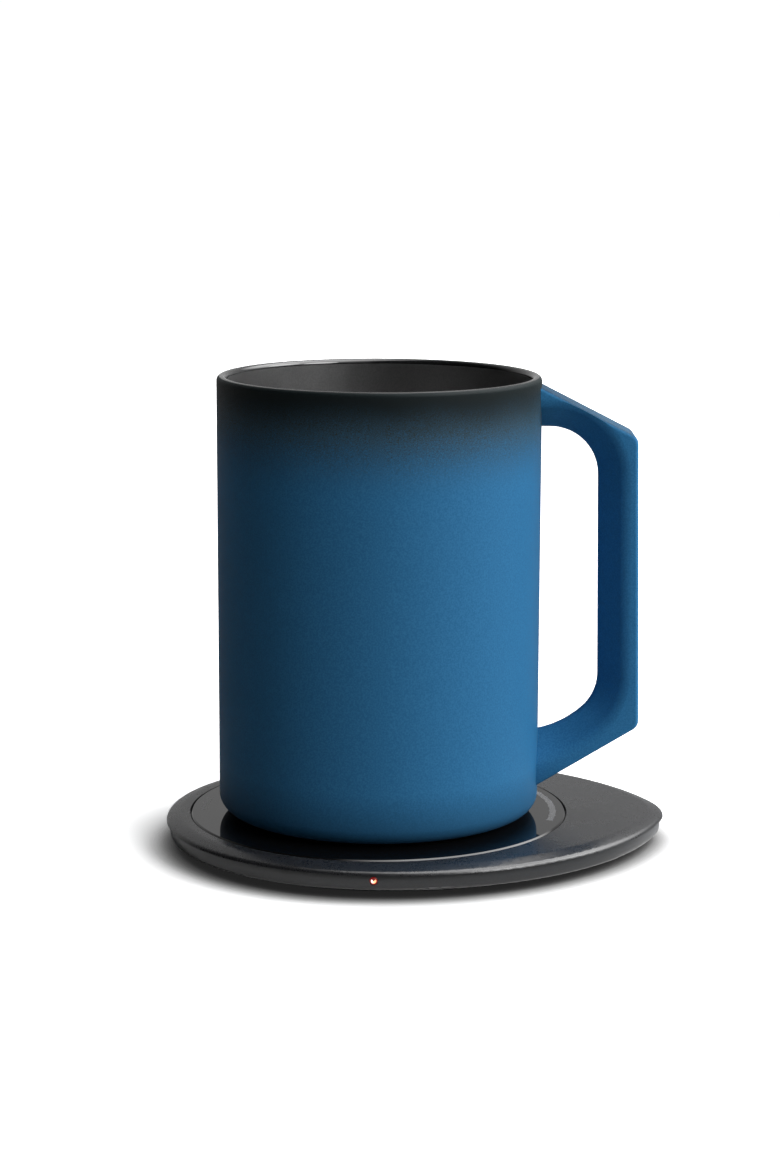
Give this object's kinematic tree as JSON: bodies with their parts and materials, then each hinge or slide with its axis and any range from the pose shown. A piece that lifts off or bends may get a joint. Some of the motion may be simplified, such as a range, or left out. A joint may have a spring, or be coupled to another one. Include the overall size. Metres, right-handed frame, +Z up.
{
  "type": "self heating mug",
  "caption": "Ceramic mug with an angular handle and a heating disc sealed in its foot, standing on a thin egg-shaped induction plate.",
  "frame": {"origin": "on the mug's axis, on the surface that the base's pad stands on", "axes": "+Z up, +X towards the handle and the nose of the base, -Y towards the status lamp"},
  "size_m": [0.1256, 0.1084, 0.1182],
  "materials": {
    "cover_plastic": "satin soft-touch, dark grey",
    "black_glass": "polished, opaque black from behind",
    "adhesive_foam": "matte foam tape",
    "shell_plastic": "satin, dark grey",
    "silicone_pad": "matte, finely ribbed",
    "screw_steel": "zinc plated",
    "board_laminate": "green solder mask",
    "chip_resin": "moulded black resin",
    "capacitor_film": "tan dipped film",
    "inductor_ferrite": "pressed iron powder",
    "copper_litz": "enamelled copper strands",
    "tinned_brass": "tin plated",
    "tray_nylon": "natural moulded nylon",
    "ferrite": "fired ferrite, matte",
    "shield_aluminium": "rolled sheet",
    "sensor_epoxy": "epoxy bead",
    "thermal_silicone": "soft thermal pad",
    "socket_steel": "nickel plated",
    "socket_plastic": "moulded",
    "lamp_body": "white moulded housing",
    "lamp_lens": "clear red, lit",
    "silicone_ring": "matte",
    "mug_glaze": "matt ceramic glaze, black at the rim and inside, blue below",
    "heater_steel": "magnetic stainless steel",
    "insulation_mica": "pressed mica",
    "foot_cover_plastic": "heat-proof moulding"
  },
  "bodies": {
    "base": {"top_cover": "cover_plastic", "glass_plate": "black_glass", "glass_gasket": "adhesive_foam", "bottom_shell": "shell_plastic", "anti_slip_pad": "silicone_pad", "case_screws": "screw_steel", "main_board": "board_laminate", "control_chip": "chip_resin", "power_transistors": "chip_resin", "resonance_capacitors": "capacitor_film", "power_inductor": "inductor_ferrite", "coil_wire": "copper_litz", "coil_terminals": "tinned_brass", "coil_tray": "tray_nylon", "ferrite_bars": "ferrite", "shield_plate": "shield_aluminium", "thermal_sensor": "sensor_epoxy", "sensor_pad": "thermal_silicone", "usb_socket_shell": "socket_steel", "usb_socket_tongue": "socket_plastic", "status_led": "lamp_body", "led_lens": "lamp_lens"},
    "mug_foot": {"foot_ring": "silicone_ring"},
    "mug": {"mug_shell": "mug_glaze", "mug_handle": "mug_glaze", "heating_disc": "heater_steel", "insulation_disc": "insulation_mica", "mug_foot_cover": "foot_cover_plastic"}
  },
  "joints": [
    {"name": "mug_lift", "type": "slide", "parent": "base", "child": "mug_foot", "axis": [0, 0, 1], "range_m": [0, 0.12]},
    {"name": "mug_turn", "type": "hinge", "parent": "mug_foot", "child": "mug", "pos_m": [0, 0, 0.01], "axis": [0, 0, 1], "continuous": true}
  ]
}
